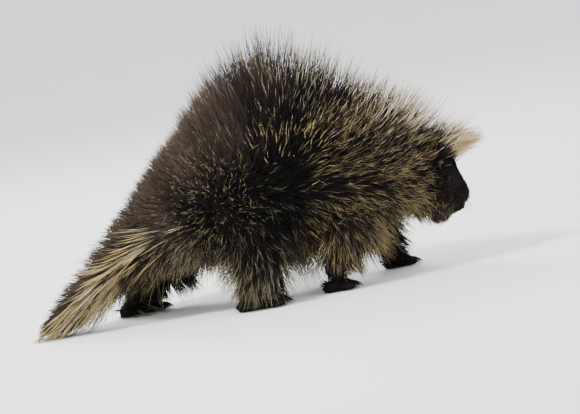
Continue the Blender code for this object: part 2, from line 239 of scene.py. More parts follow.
class Finish:
    def __init__(self, name):
        self.material = bpy.data.materials.new(name)
        self.material.use_nodes = True
        self.tree = self.material.node_tree
        self.shader = self.tree.nodes["Principled BSDF"]

    def node(self, kind, settings, sockets, output=0):
        made = self.tree.nodes.new("ShaderNode" + kind)
        for key, value in settings.items():
            setattr(made, key, value)
        for key, value in sockets.items():
            self.plug(made.inputs[key], value)
        return Wire(self, made.outputs[output])

    def plug(self, socket, value):
        if isinstance(value, Wire):
            self.tree.links.new(value.socket, socket)
        else:
            socket.default_value = value

    def set(self, **sockets):
        names = {"base": "Base Color", "roughness": "Roughness", "normal": "Normal",
                 "coat": "Coat Weight", "specular": "Specular IOR Level"}
        for key, value in sockets.items():
            self.plug(self.shader.inputs[names[key]], value)
        return self.material

    def place(self):
        return self.node("TexCoord", {}, {}, "Object")

    def attribute(self, name):
        return self.node("Attribute", {"attribute_name": name}, {}, "Fac")

    def noise(self, scale, detail=3.0, place=None):
        return self.node("TexNoise", {}, {"Vector": place or self.place(), "Scale": scale,
                                          "Detail": detail})

    def mix(self, factor, low, high):
        return self.node("Mix", {"data_type": "RGBA"}, {0: factor, 6: low, 7: high}, 2)

    def blend(self, factor, low, high):     # a number eased from low to high as factor goes 0 to 1
        return self.node("MapRange", {"interpolation_type": "SMOOTHSTEP"},
                         {0: factor, 1: low, 2: high})

    def bump(self, height, strength, distance):
        return self.node("Bump", {}, {"Height": height, "Strength": strength,
                                      "Distance": distance})


def tone(red, green, blue):     # a colour as a screen shows it, 0 to 255
    return tuple((c / 255 / 12.92) if c < 10.3 else ((c / 255 + 0.055) / 1.055) ** 2.4
                 for c in (red, green, blue)) + (1.0,)


floorSet = {"size": 60.0, "colour": tone(233, 234, 236), "shade": tone(228, 230, 233),
            "patches": 1.3, "roughness": 0.9}


def makeFloor():
    deselect()
    bpy.ops.mesh.primitive_plane_add(size=floorSet["size"])
    floor = bpy.context.object
    floor.name = "studioFloor"
    finish = Finish("paleFloor")
    colour = finish.mix(finish.noise(floorSet["patches"]), floorSet["colour"], floorSet["shade"])
    dress(floor, finish.set(base=colour, roughness=floorSet["roughness"]))


# the tones of the coat, which the skin carries too

coatTones = {
    "black": tone(17, 16, 17), "brown": tone(82, 71, 62),
    "cream": tone(250, 238, 212), "olive": tone(170, 164, 134), "straw": tone(208, 181, 120),
    "quillTip": tone(40, 26, 18),
}


def baseTone(finish, brown):
    return finish.mix(brown, coatTones["black"], coatTones["brown"])


# the skin: lofts and balls joined, remeshed as one, and smoothed

skinSet = {
    "voxel": 0.0016, "sides": 28, "triangles": 120000,
    "smoothing": 30, "smoothBehind": (0.66, 0.6), "smoothAbove": (0.045, 0.075),
    # each loft's sections, in mm: x, y, z of the middle, pitch of its axis, half height, half width
    "trunk": (
        (30, 0, 21, 33, 8, 8), (85, 0, 51, 34, 19, 22), (145, 0, 89, 36, 26, 33),
        (202, 0, 124, 38, 40, 50), (264, 0, 158, 36, 64, 78), (328, 0, 190, 26, 86, 100),
        (390, 0, 206, 14, 98, 108), (455, 0, 212, 2, 102, 110), (520, 0, 206, -8, 96, 102),
        (580, 0, 190, -18, 80, 88), (632, 0, 172, -28, 64, 70), (670, 0, 158, -36, 52, 58)),
    "head": (
        (655, 0, 168, -36, 46, 50), (682, 0, 155, -38, 52, 55), (706, 0, 142.5, -38, 48, 50),
        (721, 0, 125.5, -38, 31.5, 36), (733, 0, 112.5, -38, 24.5, 24.5),
        (743, 0, 105, -38, 17.5, 17.5), (748, 0, 102, -38, 10, 11)),
    "jaw": (
        (668, 0, 118, -30, 24, 30), (700, 0, 104, -24, 19, 23), (727, 0, 93, -16, 12.5, 14),
        (742, 0, 93, -6, 8.2, 9.2)),
    "farHind": (
        (322, 55, 200, -95, 40, 30), (312, 76, 150, -105, 44, 34),
        (290, 86, 108, -122, 40, 30), (236, 92, 64, -142, 25, 19), (190, 91, 33, -140, 16.5, 15),
        (172, 90, 20, -130, 13, 13)),
    "nearHind": (
        (345, -55, 205, -90, 44, 30), (366, -80, 155, -84, 48, 34),
        (385, -96, 108, -88, 44, 31), (386, -102, 62, -92, 29, 22), (372, -101, 30, -100, 21, 18),
        (368, -101, 18, -95, 18, 16)),
    "farFore": (
        (588, 50, 165, -90, 36, 24), (600, 64, 100, -84, 30, 21),
        (610, 68, 56, -84, 22, 17), (614, 68, 26, -88, 16.5, 14.5)),
    "nearFore": (
        (562, -50, 165, -92, 36, 24), (540, -68, 100, -104, 31, 23),
        (519, -73, 56, -104, 23, 19), (503, -72, 26, -96, 16.5, 15)),
    "mouth": {"front": (0.744, 0.096), "direction": 151.0, "length": 0.036, "gap": 0.0016,
              "width": 0.06},
    "nostrils": (0.7478, 0.007, 0.108),
    "nostrilRadii": (0.0051, 0.002108, 0.00323), "nostrilTurn": (30, 28),
    "eyeFacing": (0.3, 0.9, 0.32),
    "lids": {"radius": 0.0062, "thickness": 0.0016, "forward": 0.0008, "squash": 0.86},
}
footSet = {
    "sides": 20, "bottom": 0.0002, "inset": 0.001,
    # height of the instep over each CAD foot
    "insteps": {"foot_hind_left": 0.026, "foot_hind_right": 0.026,
                "paw_front_left": 0.021, "paw_front_right": 0.021},
    # along the foot from the heel, share of the instep's height, share of the width
    "parts": ((0.07, 0.5, 0.62), (0.2, 0.86, 0.84), (0.42, 1.0, 0.86), (0.64, 0.92, 0.94),
              (0.8, 0.7, 1.0), (0.9, 0.5, 0.86)),
    "toeRadii": (0.0125, 0.0047, 0.0058), "toeHeight": 0.0078, "toeSlope": 6,
    "behindClaw": 0.005,
}
earSet = {"radii": (0.004, 0.01, 0.0125), "hollow": -0.0045, "hollowFacing": 0.75,
          "turn": (-28, -8, 38), "shift": (-0.006, -0.002, -0.003)}


def metres(sections):
    return [(x / 1000, y / 1000, z / 1000, pitch, tall / 1000, wide / 1000)
            for x, y, z, pitch, tall, wide in sections]


def loft(name, sections, sides, start=origin):
    deselect()
    x, y, z, pitch, tall, wide = sections[0]
    bpy.ops.mesh.primitive_circle_add(vertices=sides, radius=1.0, fill_type="TRIFAN",
                                      location=Vector((x, y, z)) + start,
                                      rotation=(0, radians(90 - pitch), 0))
    piece = bpy.context.object
    piece.name = name
    startEdit()
    before = (Vector((x, y, z)) + start, pitch, 1.0, 1.0)
    for number, (x, y, z, pitch, tall, wide) in enumerate(sections):
        middle = Vector((x, y, z)) + start
        if number:
            bpy.ops.mesh.extrude_region_move(TRANSFORM_OT_translate={"value": middle - before[0]})
            bpy.ops.transform.rotate(value=radians(pitch - before[1]), orient_axis="Y",
                                     center_override=middle)
        bpy.ops.transform.resize(
            value=(1, wide / before[3], tall / before[2]), orient_type="GLOBAL",
            orient_matrix_type="GLOBAL", orient_matrix=Matrix.Rotation(radians(-pitch), 3, "Y"),
            center_override=middle)
        before = (middle, pitch, tall, wide)
    bpy.ops.mesh.select_all(action="SELECT")
    bpy.ops.mesh.normals_make_consistent(inside=False)
    endEdit()
    putInOrder(piece)
    settle(piece)
    return piece


def ball(middle, radii, rotation=(0, 0, 0)):
    deselect()
    bpy.ops.mesh.primitive_uv_sphere_add(segments=24, ring_count=16, radius=1.0,
                                         location=middle, rotation=rotation, scale=radii)
    piece = bpy.context.object
    putInOrder(piece)
    settle(piece)
    return piece


def makeFoot(node, instep):
    low, high = boxOf(node)
    length, y = high.x - low.x, (low.y + high.y) / 2
    half = (high.y - low.y) / 2 - footSet["inset"]
    sections = [(low.x + length * along, y, footSet["bottom"] + instep * tall / 2, 0,
                 instep * tall / 2, half * wide) for along, tall, wide in footSet["parts"]]
    pieces = [loft(node + " flesh", sections, footSet["sides"], Vector((0, 0, 0)))]
    for claw in nodesCalled("claw"):
        middle, size = middleOf(claw)
        if claw[5:-2] == node.split("_", 1)[1]:
            pieces.append(ball(
                (middle.x - size.x - footSet["behindClaw"], middle.y, footSet["toeHeight"]),
                footSet["toeRadii"], (0, radians(footSet["toeSlope"]), 0)))
    return join(node + " flesh", pieces)


def makeEar(node, side):
    ear = ball((0, 0, 0), earSet["radii"])
    startEdit("DESELECT")
    endEdit()
    for face in ear.data.polygons:      # the hollow in front
        face.select = face.normal.x > earSet["hollowFacing"]
    bpy.ops.object.mode_set(mode="EDIT")
    bpy.ops.transform.translate(value=(earSet["hollow"], 0, 0))
    endEdit()
    roll, pitch, turn = (radians(angle) for angle in earSet["turn"])
    ear.rotation_euler = (roll * side, pitch, turn * side)
    x, y, z = earSet["shift"]
    ear.location = middleOf(node)[0] + Vector((x, y * side, z))
    settle(ear)
    return ear


def eyeFacing(side):
    x, y, z = skinSet["eyeFacing"]
    return Vector((x, y * side, z))


def makeLid(node, side):
    lids, facing = skinSet["lids"], eyeFacing(side)
    deselect()
    bpy.ops.mesh.primitive_torus_add(
        major_radius=lids["radius"], minor_radius=lids["thickness"], major_segments=32,
        minor_segments=12, rotation=facing.to_track_quat("Z", "Y").to_euler(),
        location=middleOf(node)[0] + facing.normalized() * lids["forward"])
    lid = bpy.context.object
    lid.scale = (1.0, lids["squash"], 1.0)
    settle(lid)
    return lid


def makeSkin():
    pieces = []
    for name in ("trunk", "head", "jaw", "farHind", "nearHind", "farFore", "nearFore"):
        piece = loft(name, metres(skinSet[name]), skinSet["sides"])
        applyModifier(piece, "SUBSURF", levels=2, render_levels=2)
        pieces.append(piece)
    pieces += [makeFoot(node, instep) for node, instep in footSet["insteps"].items()]
    for make, start in ((makeEar, "ear"), (makeLid, "eye")):
        pieces += [make(start + "_left", 1), make(start + "_right", -1)]
    skin = join("skin", pieces)
    applyModifier(skin, "REMESH", mode="VOXEL", voxel_size=skinSet["voxel"])
    putInOrder(skin)
    print("skin remeshed", len(skin.data.polygons))

    # the body's lofts melt into one another; the face and the feet keep their shape and detail
    places = meshPlaces(skin) - base
    body = (ease(*skinSet["smoothBehind"], places[:, 0])
            * ease(*skinSet["smoothAbove"], places[:, 2]))
    group = skin.vertex_groups.new(name="body")
    for level in range(1, 5):
        chosen = np.flatnonzero(np.round(body * 4) == level)
        group.add(chosen.tolist(), level / 4, "REPLACE")
    applyModifier(skin, "SMOOTH", factor=0.5, iterations=skinSet["smoothing"],
                  vertex_group="body")
    applyModifier(skin, "SMOOTH", factor=0.5, iterations=2)
    carveFace(skin)
    putInOrder(skin)
    count = len(skin.data.polygons) * 2
    applyModifier(skin, "DECIMATE", ratio=skinSet["triangles"] / count, vertex_group="body",
                  vertex_group_factor=1.0)
    return skin


def carveFace(skin):        # the mouth's line and the nostrils
    mouth = skinSet["mouth"]
    x, z = mouth["front"]
    deselect()
    bpy.ops.mesh.primitive_cube_add(
        size=1.0, scale=(mouth["length"], mouth["width"], mouth["gap"]),
        location=origin + Vector((x, 0, z))
        + Vector(sloped(mouth["direction"])) * mouth["length"] / 2,
        rotation=(0, radians(180 - mouth["direction"]), 0))
    cutters = [bpy.context.object]
    settle(cutters[0])
    x, y, z = skinSet["nostrils"]
    pitch, turn = (radians(angle) for angle in skinSet["nostrilTurn"])
    for side in (1, -1):
        cutters.append(ball(origin + Vector((x, y * side, z)), skinSet["nostrilRadii"],
                            (0, pitch, turn * side)))
    for cutter in cutters:
        applyModifier(skin, "BOOLEAN", operation="DIFFERENCE", object=cutter,
                      solver="MANIFOLD")
        bpy.data.objects.remove(cutter)


# the coat's lie, read off the flank: each guide says how the coat grows round one place

coatGuides = {
    # name: x and z in mm, direction in degrees (0 forward, 90 up), lift off the skin in percent,
    #       length in mm, then in percent: tufts with pale tips, their hue (0 olive, 50 straw,
    #       100 cream) and the brown of the rest
    "tail tip": (30, 21, 216, 12, 40, 50, 50, 60),
    "tail end top": (75, 66, 185, 45, 50, 3, 30, 90),
    "tail end side": (85, 50, 220, 15, 70, 35, 50, 60),
    "tail end under": (96, 33, 222, 25, 35, 5, 30, 80),
    "tail top": (130, 110, 166, 50, 55, 3, 20, 100),
    "tail side": (145, 88, 219, 20, 80, 35, 50, 60),
    "tail under": (160, 67, 226, 30, 45, 8, 20, 70),
    "tail root top": (178, 152, 166, 40, 55, 3, 0, 100),
    "tail root side": (202, 124, 200, 25, 80, 30, 50, 45),
    "tail root under": (228, 94, 228, 35, 45, 50, 20, 50),
    "rump top": (225, 210, 138, 50, 66, 3, 0, 100),
    "rump side": (262, 170, 176, 25, 60, 3, 0, 85),
    "rump low": (285, 115, 220, 35, 60, 85, 10, 60),
    "back rear top": (290, 267, 118, 55, 82, 3, 60, 100),
    "back rear side": (310, 235, 122, 35, 55, 3, 0, 100),
    "whorl rear": (290, 180, 150, 35, 42, 2, 5, 30),
    "whorl top": (330, 216, 100, 35, 45, 2, 0, 30),
    "whorl fore": (370, 180, 20, 35, 45, 2, 0, 0),
    "whorl low": (328, 146, 250, 30, 50, 8, 5, 0),
    "crest rear": (365, 303, 112, 60, 110, 2, 90, 90),
    "crest rear side": (375, 262, 108, 40, 80, 2, 60, 70),
    "crest top": (450, 314, 85, 70, 130, 3, 95, 60),
    "crest side": (440, 262, 90, 42, 80, 4, 90, 5),
    "crest fore": (530, 305, 62, 65, 120, 12, 95, 30),
    "crest fore side": (530, 255, 30, 40, 80, 30, 30, 10),
    "nape top": (604, 266, 55, 60, 100, 25, 95, 50),
    "nape side": (600, 225, 36, 38, 70, 40, 0, 20),
    "neck top": (665, 228, 40, 55, 90, 30, 93, 50),
    "crown": (712, 192, 22, 35, 60, 22, 30, 25),
    "neck side": (650, 190, 22, 35, 60, 75, 20, 25),
    "valley": (445, 205, 45, 30, 55, 2, 0, 0),
    "valley low": (420, 150, -70, 30, 55, 6, 0, 0),
    "flank": (490, 200, 18, 30, 65, 42, 30, 10),
    "flank low": (470, 150, -30, 30, 60, 50, 25, 20),
    "shoulder": (560, 190, 6, 30, 65, 42, 30, 15),
    "shoulder low": (550, 140, -38, 30, 60, 60, 30, 35),
    "ruff": (645, 150, -8, 35, 55, 85, 35, 35),
    "ruff low": (655, 95, -48, 35, 60, 80, 35, 45),
    "cheek": (692, 112, -62, 35, 32, 35, 10, 25),
    "crest mid side": (485, 265, 50, 40, 80, 10, 30, 0),
    "valley floor": (398, 138, -80, 30, 60, 12, 0, 0),
    "cheek top": (702, 148, -15, 25, 35, 22, 20, 0),
    "belly rear": (345, 92, 245, 35, 85, 95, 0, 50),
    "belly": (450, 110, -80, 30, 120, 80, 30, 60),
    "breast": (560, 112, -65, 30, 100, 80, 35, 50),
    "hip": (362, 138, 255, 22, 80, 25, 15, 5),
    "hock": (386, 62, 245, 15, 75, 85, 0, 50),
    "far thigh": (290, 80, 228, 20, 55, 8, 0, 10),
    "far shank": (225, 55, 222, 15, 35, 6, 0, 25),
    "near hind toes": (425, 15, -20, 20, 13, 5, 0, 10),
    "near hind heel": (340, 15, 215, 15, 13, 5, 0, 10),
    "far hind toes": (235, 15, -20, 20, 13, 5, 0, 20),
    "near hind foot": (380, 15, -20, 18, 15, 5, 0, 10),
    "far hind foot": (190, 15, -20, 18, 15, 15, 0, 20),
    "far elbow": (605, 80, -95, 20, 40, 35, 30, 30),
    "near elbow": (535, 85, -100, 22, 60, 75, 35, 60),
    "near wrist": (508, 35, -80, 15, 16, 15, 20, 20),
    "far shank fore": (262, 50, -55, 20, 40, 6, 0, 10),
    "far wrist": (614, 35, -55, 22, 34, 5, 10, 0),
    "near paw": (515, 12, -15, 18, 13, 5, 0, 10),
    "far paw": (630, 12, -15, 18, 17, 2, 0, 0),
}
guideReach = 0.01       # within this of a guide, the coat hardly changes
faceSet = {
    "brow": (0.706, 0.138), "pitch": -12.0,     # where the face's own axis starts, and its slope
    "from": -0.012, "to": -0.002,               # along that axis: the ruff ends, the face begins
    "behind": 0.66, "below": (0.186, 0.174),
    "direction": 150.0, "lift": 0.2, "length": 0.0075, "brown": 0.27,
}
beardSet = {"middle": (0.703, 0.092), "size": 0.017, "direction": -68.0, "length": 0.02,
            "over": 0.01, "pale": 0.3, "hue": 0.1, "brown": 0.4}
whorl = {"middle": (0.33, 0.178), "radius": 0.045, "pull": 0.45, "still": 0.004,
         "fade": (0.5, 1.4), "quills": (1.9, 1.2)}


def comb(roots, normals):
    guides = (np.array(list(coatGuides.values()))
              / (1000, 1000, 1, 100, 1000, 100, 100, 100))
    x, z = roots[:, 0], roots[:, 2]
    square = (x[:, None] - guides[:, 0]) ** 2 + (z[:, None] - guides[:, 1]) ** 2
    weight = 1.0 / (square + guideReach ** 2) ** 2
    weight /= weight.sum(axis=1, keepdims=True)
    angle = np.radians(guides[:, 2])
    flow = np.stack([weight @ np.cos(angle), np.zeros(len(x)), weight @ np.sin(angle)], axis=1)
    # the whorl on the haunch, where the coat parts all round
    away = np.stack([x - whorl["middle"][0], np.zeros(len(x)), z - whorl["middle"][1]], axis=1)
    reach = np.linalg.norm(away, axis=1, keepdims=True)
    turn = whorl["pull"] * (1 - ease(whorl["radius"] * whorl["fade"][0],
                                     whorl["radius"] * whorl["fade"][1], reach))
    flow = flow * (1 - turn) + away / (reach + whorl["still"]) * turn
    flow /= np.linalg.norm(flow, axis=1, keepdims=True) + 1e-6
    lie = dict(zip(("lift", "length", "pale", "hue", "brown"), (weight @ guides[:, 3:]).T))
    # the face's short fur, which lies back from the nose
    face = faceShare(roots)
    lie["flow"] = mixed(flow, sloped(faceSet["direction"]), face[:, None])
    for key in ("lift", "length", "brown"):
        lie[key] = mixed(lie[key], faceSet[key], face)
    lie["pale"] = lie["pale"] * (1 - face)
    # the beard under the jaw
    square = (x - beardSet["middle"][0]) ** 2 + (z - beardSet["middle"][1]) ** 2
    beard = np.exp(-square / (2 * beardSet["size"] ** 2)) * face
    lie["flow"] = mixed(lie["flow"], sloped(beardSet["direction"]), beard[:, None])
    lie["length"] = lie["length"] + beardSet["length"] * beard
    lie["over"] = beardSet["over"] * beard
    lie["pale"] = lie["pale"] + beardSet["pale"] * beard
    lie["hue"] = mixed(lie["hue"], beardSet["hue"], beard)
    lie["brown"] = np.clip(lie["brown"] + beardSet["brown"] * beard, 0, 1)
    inward = np.minimum((lie["flow"] * normals).sum(axis=1, keepdims=True), 0)
    lie["flow"] = lie["flow"] - inward * normals
    return lie


def faceShare(roots):
    slope = radians(faceSet["pitch"])
    along = ((roots[:, 0] - faceSet["brow"][0]) * cos(slope)
             + (roots[:, 2] - faceSet["brow"][1]) * sin(slope))
    return (ease(faceSet["from"], faceSet["to"], along) * (roots[:, 0] > faceSet["behind"])
            * ease(*faceSet["below"], roots[:, 2]))


# the ground that the coat grows on, and the room it has, out to the solid's own surface

def readSkin(skin):
    mesh = skin.data
    mesh.calc_loop_triangles()
    corners = read(mesh.loop_triangles, "vertices", 3, np.int64)
    loops = read(mesh.loop_triangles, "loops", 3, np.int64)
    ground = {"places": meshPlaces(skin)[corners],
              "normals": read(mesh.vertices, "normal", 3)[corners],
              "uvs": read(mesh.uv_layers["OFBake"].data, "uv", 2)[loops]}
    sides = ground["places"][:, 1:] - ground["places"][:, :1]
    ground["areas"] = np.linalg.norm(np.cross(sides[:, 0], sides[:, 1]), axis=1) / 2
    ground["middles"] = ground["places"].mean(axis=1) - base
    ground["facing"] = unit(ground["normals"].mean(axis=1))
    return ground


def makeRoom():     # the fur's outer surface: the CAD solids as one closed shell
    copies = []
    for node in fleshNodes:
        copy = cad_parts[node].copy()
        copy.data = copy.data.copy()
        copy.data.materials.clear()
        scene.collection.objects.link(copy)
        copies.append(copy)
    shell = join("coatRoom", copies)
    applyModifier(shell, "REMESH", mode="VOXEL", voxel_size=growSet["shellVoxel"])
    tree = BVHTree.FromPolygons([v.co for v in shell.data.vertices],
                                [p.vertices for p in shell.data.polygons])
    bpy.data.objects.remove(shell)
    return tree


def sow(ground, density, count):
    weight = ground["areas"] * density(ground["middles"], ground["facing"])
    total = np.cumsum(weight)
    spots = (np.arange(count) + rng.random(count)) / count * total[-1]
    pick = np.minimum(np.searchsorted(total, spots), len(total) - 1)
    a, b = rng.random(count), rng.random(count)
    over = a + b > 1
    a[over], b[over] = 1 - a[over], 1 - b[over]
    share = np.stack([1 - a - b, a, b], axis=1)[:, :, None]
    return {"place": (ground["places"][pick] * share).sum(axis=1),
            "normal": unit((ground["normals"][pick] * share).sum(axis=1)),
            "uv": (ground["uvs"][pick] * share).sum(axis=1)}


growSet = {
    "shellVoxel": 0.005,
    "patchCells": 320, "patch": 0.003, "patchEdge": 0.02, "patchTries": 60,
    "lifts": (0.03, 0.95), "liftSpread": 0.05, "leastLength": 0.003,
    "sight": 0.19,              # looks back from outside, past the walls between the solids
    # the thick coat ends below the crest: between these, where the skin faces up
    "cropFacing": (0.45, 0.9), "cropFrom": (0.2, 0.36),
    "cropLess": 0.25, "cropLessBehind": (0.53, 0.45),
    "belly": 0.6, "bellyFacing": (-0.1, -0.7),      # it hangs full under the belly
    # where the longest hair hangs: below, above, from and to
    "hangs": ((2, 0.135, 0.095), (2, 0.03, 0.06), (0, 0.2, 0.26), (0, 0.67, 0.62)),
    "brownGather": 0.6, "brownFrom": (0.6, 0.9), "brownSpread": 0.12,
    "hairVary": (0.75, 1.1), "fullSpreadAt": 0.03, "leastSpread": 0.25, "waves": 2.2,
    # axis, least and most: past these the longest lean back towards the solid's box
    "box": ((0, -0.38, 0.4), (1, -0.146, 0.146), (2, -1, 0.455)), "leanBack": 0.6,
    "floor": 0.0012, "floorVary": 0.001,
    "thickVary": (0.75, 1.25), "fullWidthAt": 0.02, "leastWidth": 0.45,
    # share of the width at each share of the length
    "hairProfile": ((0, 0.75), (0.35, 1.0), (0.75, 0.75), (1, 0.3)),
    "quillProfile": ((0, 0.6), (0.3, 1.0), (0.7, 0.9), (1, 0.3)),
    "paleVary": (0.6, 1),
}


def ownPatches(uvs):        # each tuft gets a patch of the unwrap to itself
    cells = growSet["patchCells"]
    spot = np.clip((uvs * cells).astype(np.int64), 0, cells - 1)
    taken = np.zeros((cells, cells), bool)
    result = spot.copy()
    waiting = np.arange(len(spot))
    for reach in range(growSet["patchTries"]):
        step = rng.integers(-(reach // 3), reach // 3 + 1, (len(waiting), 2))
        trial = np.clip(spot[waiting] + step, 0, cells - 1)
        key = trial[:, 0] * cells + trial[:, 1]
        first = np.zeros(len(waiting), bool)
        first[np.unique(key, return_index=True)[1]] = True
        good = first & ~taken[trial[:, 0], trial[:, 1]]
        result[waiting[good]] = trial[good]
        taken[trial[good, 0], trial[good, 1]] = True
        waiting = waiting[~good]
        if not len(waiting):
            break
    return (result + growSet["patchEdge"]) / cells


def layTufts(layer, roots, normals, room):      # each tuft's lie, first direction and length
    tufts, places = len(roots), roots - base
    lie = comb(places, normals)
    if "towards" in layer:
        lie["flow"] = np.array([layer["towards"]] * tufts)
        lie["flow"][:, 1] *= np.sign(roots[:, 1] - origin.y)
    if "aim" in layer:      # a lock: its hairs rise, then bend to end near one place
        end = np.array(layer["aim"]) + roots * (0, 0.6, 0)
        lie["length"] = np.linalg.norm(end - roots, axis=1)
        lie["flow"] = unit(end - roots) + (0, 0, layer["rise"])
    lift = np.clip(lie["lift"] * layer["lift"] + rng.normal(0, growSet["liftSpread"], tufts),
                   *growSet["lifts"])[:, None]
    scatter = rng.normal(0, layer["scatter"], (tufts, 3))
    ahead = unit(lie["flow"] * (1 - lift) + normals * lift + scatter)

    lengths = layer.get("fixedLength", lie["length"]) * layer["length"] * rng.uniform(
        *layer["vary"], tufts)
    lengths *= 1 - layer["footCrop"] * onFeet(places)
    far = growSet["sight"]
    space = np.array([far - (room.ray_cast(Vector(p + d * far), Vector(-d), far)[3] or far)
                      for p, d in zip(roots, ahead)])
    upright = ease(*growSet["cropFacing"], normals[:, 2]) * ease(*growSet["cropFrom"], places[:, 0])
    upright *= 1 - growSet["cropLess"] * ease(*growSet["cropLessBehind"], places[:, 0])
    space *= 1 - layer["crop"] * upright
    space *= 1 + growSet["belly"] * ease(*growSet["bellyFacing"], normals[:, 2])
    low = np.prod([ease(start, end, places[:, axis])
                   for axis, start, end in growSet["hangs"]], axis=0)
    lengths = np.minimum(lengths, space * rng.uniform(*layer["fill"], tufts)
                         + layer["over"] + layer["hang"] * low + lie["over"])
    return lie, ahead, np.maximum(lengths, growSet["leastLength"])


# each tuft's hairs start side by side and gather, or spread, towards their tips

def drawHairs(layer, roots, normals, lie, ahead, lengths, steps):
    tufts, hairs, _ = layer["count"]
    total = tufts * hairs
    tuft = np.repeat(np.arange(tufts), hairs)
    across = unit(np.cross(normals, rng.normal(0, 1, (tufts, 3))))
    along = np.cross(normals, across)
    turn, radius = rng.uniform(0, 2 * pi, total), np.sqrt(rng.random(total)) * layer["spread"]
    short = np.clip(lengths[tuft] / growSet["fullSpreadAt"], growSet["leastSpread"], 1.0)
    offset = (across[tuft] * (np.cos(turn) * radius * short)[:, None]
              + along[tuft] * (np.sin(turn) * radius * short)[:, None])
    start = roots[tuft] + offset - normals[tuft] * layer["sink"]
    early = unit(ahead[tuft] + rng.normal(0, layer["stray"], (total, 3)))
    length = (lengths[tuft] * rng.uniform(*growSet["hairVary"], total))[:, None]
    later = lie["flow"][tuft]       # the lie half way along, which the hair bends into
    if "towards" not in layer:
        later = comb(start + early * length * 0.6 - base, normals[tuft])["flow"]
    late = unit(early + later * layer["settle"] + np.array(layer["bend"])
                + rng.normal(0, layer["curl"], (total, 3)))
    wave = layer["wave"] * length * rng.normal(0, 1, (total, 1))
    sway = unit(np.cross(early, rng.normal(0, 1, (total, 3))))

    gather = layer["gather"] + growSet["brownGather"] * ease(
        *growSet["brownFrom"], lie["brown"])[tuft][:, None]
    lines = np.stack([start + length * (early * t + (late - early) * t * t / 2)
                      - offset * (1 - gather) * t
                      + sway * wave * sin(growSet["waves"] * pi * t)
                      for t in steps], axis=1)
    for axis, least, most in growSet["box"]:
        over = lines[:, :, axis] - np.clip(lines[:, :, axis], least, most)
        lines[:, :, axis] -= over * growSet["leanBack"]
    low = growSet["floor"]
    lines[:, :, 2] = np.where(lines[:, :, 2] < low,
                              low + rng.random((total, 1)) * growSet["floorVary"],
                              lines[:, :, 2])
    return tuft, length, lines


def thicken(lines, length, steps, width, profile):      # three corners round each line's places
    total, rings = len(lines), len(steps) - 1
    ahead = unit(np.diff(lines, axis=1))
    side = unit(np.cross(ahead, rng.normal(0, 1, (total, 1, 3))))
    other = np.cross(ahead, side)
    thick = np.interp(steps[:-1], *zip(*growSet[profile])) * width / 2
    thick = thick[None, :, None] * rng.uniform(*growSet["thickVary"], (total, 1, 1))
    thick = thick * np.clip(length[:, :, None] / growSet["fullWidthAt"], growSet["leastWidth"], 1.0)
    corners = [lines[:, :-1] + thick * (side * cos(turn) + other * sin(turn))
               for turn in (2 * pi * k / 3 for k in range(3))]
    body = np.stack(corners, axis=2).reshape(total, rings * 3, 3)
    points = np.concatenate([body, lines[:, -1:]], axis=1)

    top = (rings - 1) * 3
    faces = [(0, 2, 1)]
    for ring in range(rings - 1):
        for k in range(3):
            a, b = ring * 3 + k, ring * 3 + (k + 1) % 3
            faces += [(a, b, b + 3), (a, b + 3, a + 3)]
    faces += [(top + k, top + (k + 1) % 3, rings * 3) for k in range(3)]
    each = rings * 3 + 1
    return points, (np.array(faces)[None] + (np.arange(total) * each)[:, None, None]).reshape(-1)


def meshFrom(name, points, triangles):
    mesh = bpy.data.meshes.new(name)
    mesh.vertices.add(points.shape[0] * points.shape[1])
    mesh.vertices.foreach_set("co", points.astype(np.float32).reshape(-1))
    mesh.loops.add(len(triangles))
    mesh.loops.foreach_set("vertex_index", triangles.astype(np.int32))
    mesh.polygons.add(len(triangles) // 3)
    mesh.polygons.foreach_set("loop_start", np.arange(0, len(triangles), 3, dtype=np.int32))
    mesh.polygons.foreach_set("use_smooth", np.ones(len(triangles) // 3, bool))
    mesh.update(calc_edges=True)
    return mesh


def growCoat(name, layer, finish, ground, room):
    tufts, _, rings = layer["count"]
    seeds = sow(ground, layer["density"], tufts)
    patches = ownPatches(seeds["uv"])
    roots, normals = seeds["place"], seeds["normal"]
    steps = np.linspace(0, 1, rings + 1)
    lie, ahead, lengths = layTufts(layer, roots, normals, room)
    tuft, length, lines = drawHairs(layer, roots, normals, lie, ahead, lengths, steps)
    points, triangles = thicken(lines, length, steps, layer["width"],
                                "quillProfile" if "uill" in name else "hairProfile")
    mesh = meshFrom(name, points, triangles)

    height = np.append(np.repeat(steps[:-1], 3), 1.0)
    width = np.append(np.tile((0.0, 0.5, 1.0), rings), 0.5)
    patch = patches[tuft][:, None] + growSet["patch"] * np.stack([width, height], axis=1)[None]
    mesh.uv_layers.new(name="OFBake")
    mesh.uv_layers["OFBake"].data.foreach_set(
        "uv", patch.reshape(-1, 2)[triangles].astype(np.float32).reshape(-1))

    share = np.maximum(lie["pale"] * layer["pale"], layer["paleLeast"]
                       * ease(*layer["paleFrom"], roots[:, 0] - origin.x))
    pale = ((rng.random(tufts) < share) * rng.uniform(*growSet["paleVary"], tufts)
            * layer["paleTone"])
    hue = np.clip(layer.get("hue", lie["hue"]) + rng.normal(0, layer["hueSpread"], tufts), 0, 1)
    brown = np.clip(lie["brown"] + rng.normal(0, growSet["brownSpread"], tufts), 0, 1)
    values = {"pale": pale, "hue": hue, "brown": brown, "shade": rng.random(tufts)}
    values = {key: np.repeat(value[tuft], len(height)) for key, value in values.items()}
    for key, value in {"along": np.tile(height, len(tuft)), **values}.items():
        mesh.attributes.new(key, "FLOAT", "POINT")
        mesh.attributes[key].data.foreach_set("value", value.astype(np.float32))
    mesh.materials.append(finish)
    piece = bpy.data.objects.new(name, mesh)
    scene.collection.objects.link(piece)
    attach(piece, "root")
    print("coat:", name, len(triangles) // 3, "triangles")


# where each layer grows, from a place counted from the tail's tip and the skin's facing

def onTail(p):
    return ease(0.235, 0.195, p[:, 0])


